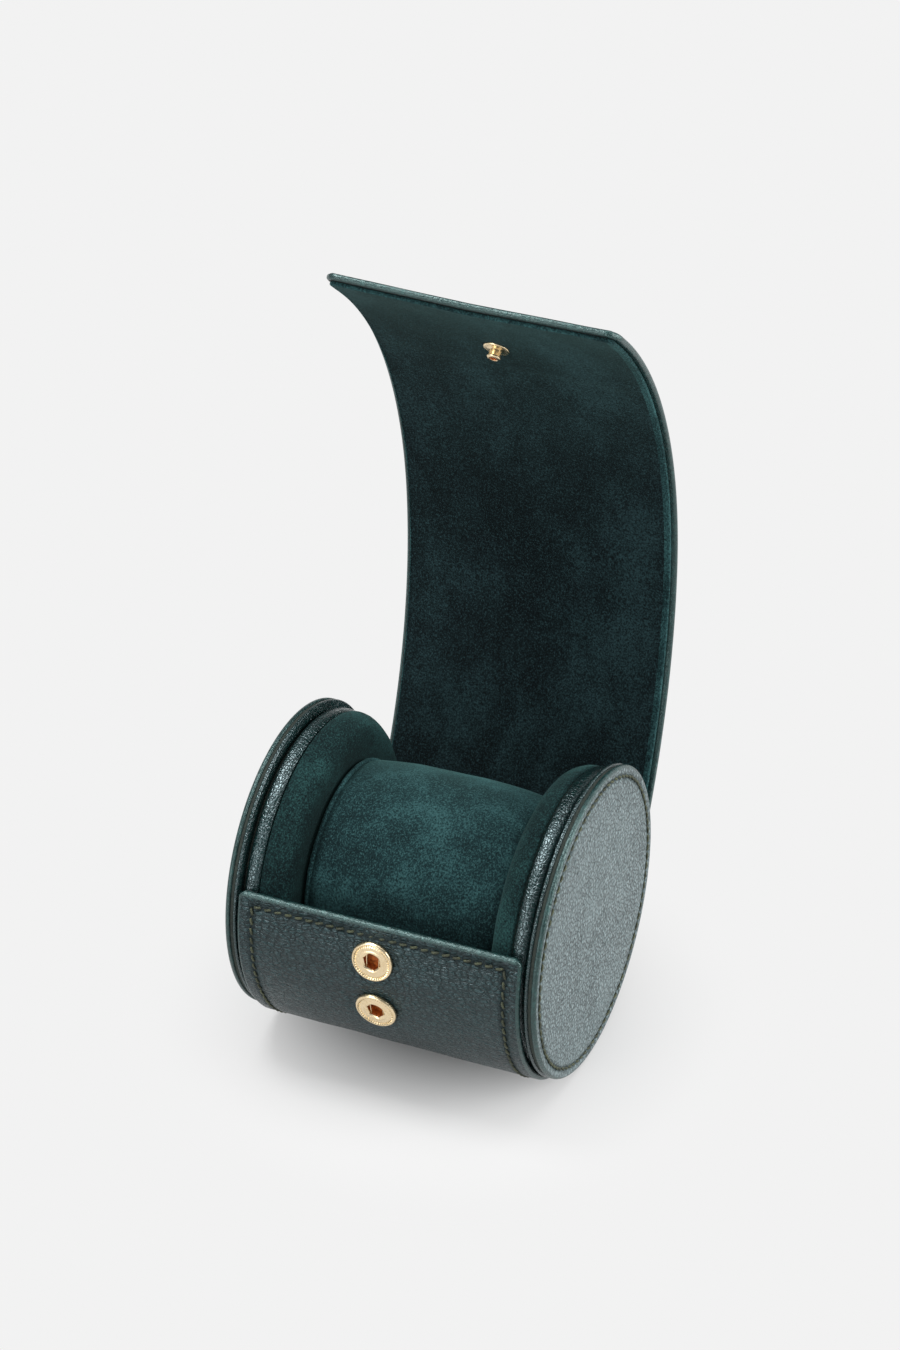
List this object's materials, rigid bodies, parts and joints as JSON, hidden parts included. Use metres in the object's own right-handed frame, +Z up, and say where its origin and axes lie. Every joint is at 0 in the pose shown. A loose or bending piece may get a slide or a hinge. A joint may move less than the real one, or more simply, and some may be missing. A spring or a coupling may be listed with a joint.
{
  "type": "watch roll",
  "caption": "Round leather watch roll standing open: stitched end discs, suede drums and a lift-out watch cushion, with a tall flap that wraps round and snaps shut.",
  "frame": {"origin": "centre of the pressed flat that the roll rests on", "axes": "+X along the roll to its right end, -Y to the front with the snap sockets, +Z up"},
  "size_m": [0.0836, 0.1083, 0.1929],
  "materials": {
    "wrap_leather": "satin",
    "disc_leather": "satin",
    "trim_leather": "satin",
    "lining_suede": "matte",
    "suede": "matte",
    "thread": "matte",
    "stiffening_board": "matte",
    "board": "matte",
    "drum_core": "matte",
    "foam": "matte",
    "snap_metal": "polished"
  },
  "bodies": {
    "roll": {"wrap_leather": "wrap_leather", "wrap_stiffener": "stiffening_board", "wrap_lining": "lining_suede", "front_panel_thread": "thread", "left_disc_face": "disc_leather", "left_disc_board": "board", "left_disc_backing": "trim_leather", "left_disc_thread": "thread", "right_disc_face": "disc_leather", "right_disc_board": "board", "right_disc_backing": "trim_leather", "right_disc_thread": "thread", "left_disc_spacer": "board", "left_drum_board": "board", "left_drum_core": "drum_core", "left_drum_band": "trim_leather", "left_drum_suede": "suede", "right_disc_spacer": "board", "right_drum_board": "board", "right_drum_core": "drum_core", "right_drum_band": "trim_leather", "right_drum_suede": "suede", "snap_sockets": "snap_metal", "snap_washers": "snap_metal", "snap_wires": "snap_metal"},
    "flap_1": {"flap_leather_1": "wrap_leather", "flap_lining_1": "lining_suede"},
    "flap_2": {"flap_leather_2": "wrap_leather", "flap_lining_2": "lining_suede"},
    "flap_3": {"flap_leather_3": "wrap_leather", "flap_lining_3": "lining_suede"},
    "flap_4": {"flap_leather_4": "wrap_leather", "flap_lining_4": "lining_suede"},
    "flap_5": {"flap_leather_5": "wrap_leather", "flap_lining_5": "lining_suede"},
    "flap_6": {"flap_leather_6": "wrap_leather", "flap_lining_6": "lining_suede"},
    "flap_7": {"flap_leather_7": "wrap_leather", "flap_lining_7": "lining_suede"},
    "flap_8": {"flap_leather_8": "wrap_leather", "flap_lining_8": "lining_suede"},
    "flap_9": {"flap_leather_9": "wrap_leather", "flap_lining_9": "lining_suede"},
    "flap_10": {"snap_stud": "snap_metal", "snap_cap": "snap_metal", "flap_leather_10": "wrap_leather", "flap_lining_10": "lining_suede"},
    "flap_11": {"flap_leather_11": "wrap_leather", "flap_lining_11": "lining_suede"},
    "cushion": {"cushion_cover": "suede", "cushion_left_end": "suede", "cushion_right_end": "suede", "cushion_foam": "foam"}
  },
  "joints": [
    {"name": "flap", "type": "hinge", "parent": "roll", "child": "flap_1", "pos_m": [0, 0.03469, 0.02137], "axis": [1, 0, 0], "range_deg": [0, 17.06]},
    {"name": "flap_2", "type": "hinge", "parent": "flap_1", "child": "flap_2", "pos_m": [0, 0.04438, 0.03581], "axis": [1, 0, 0], "range_deg": [0, 17.06]},
    {"name": "flap_3", "type": "hinge", "parent": "flap_2", "child": "flap_3", "pos_m": [0, 0.0522, 0.05134], "axis": [1, 0, 0], "range_deg": [0, 17.06]},
    {"name": "flap_4", "type": "hinge", "parent": "flap_3", "child": "flap_4", "pos_m": [0, 0.05804, 0.06772], "axis": [1, 0, 0], "range_deg": [0, 17.06]},
    {"name": "flap_5", "type": "hinge", "parent": "flap_4", "child": "flap_5", "pos_m": [0, 0.0618, 0.0847], "axis": [1, 0, 0], "range_deg": [0, 17.06]},
    {"name": "flap_6", "type": "hinge", "parent": "flap_5", "child": "flap_6", "pos_m": [0, 0.06342, 0.10202], "axis": [1, 0, 0], "range_deg": [0, 16.37]},
    {"name": "flap_7", "type": "hinge", "parent": "flap_6", "child": "flap_7", "pos_m": [0, 0.06267, 0.1194], "axis": [1, 0, 0], "range_deg": [0, 14.28]},
    {"name": "flap_8", "type": "hinge", "parent": "flap_7", "child": "flap_8", "pos_m": [0, 0.05893, 0.13638], "axis": [1, 0, 0], "range_deg": [0, 14.28]},
    {"name": "snap", "type": "hinge", "parent": "flap_8", "child": "flap_9", "pos_m": [0, 0.05233, 0.15247], "axis": [1, 0, 0], "range_deg": [0, 12.58]},
    {"name": "flap_10", "type": "hinge", "parent": "flap_9", "child": "flap_10", "pos_m": [0, 0.04306, 0.16719], "axis": [1, 0, 0], "range_deg": [0, 13.08]},
    {"name": "flap_11", "type": "hinge", "parent": "flap_10", "child": "flap_11", "pos_m": [0, 0.0314, 0.18008], "axis": [1, 0, 0], "range_deg": [0, 13.08]},
    {"name": "cushion_lift", "type": "slide", "parent": "roll", "child": "cushion", "axis": [0, 0, 1], "range_m": [0, 0.09]}
  ],
  "couplings": [
    {"joint": "flap_2", "follows": "flap", "ratio": 1},
    {"joint": "flap_3", "follows": "flap", "ratio": 1},
    {"joint": "flap_4", "follows": "flap", "ratio": 1},
    {"joint": "flap_5", "follows": "flap", "ratio": 1},
    {"joint": "flap_6", "follows": "flap", "ratio": 0.95923},
    {"joint": "flap_7", "follows": "flap", "ratio": 0.83691},
    {"joint": "flap_8", "follows": "flap", "ratio": 0.83691},
    {"joint": "flap_10", "follows": "flap", "ratio": 0.76673},
    {"joint": "flap_11", "follows": "flap", "ratio": 0.76673}
  ]
}
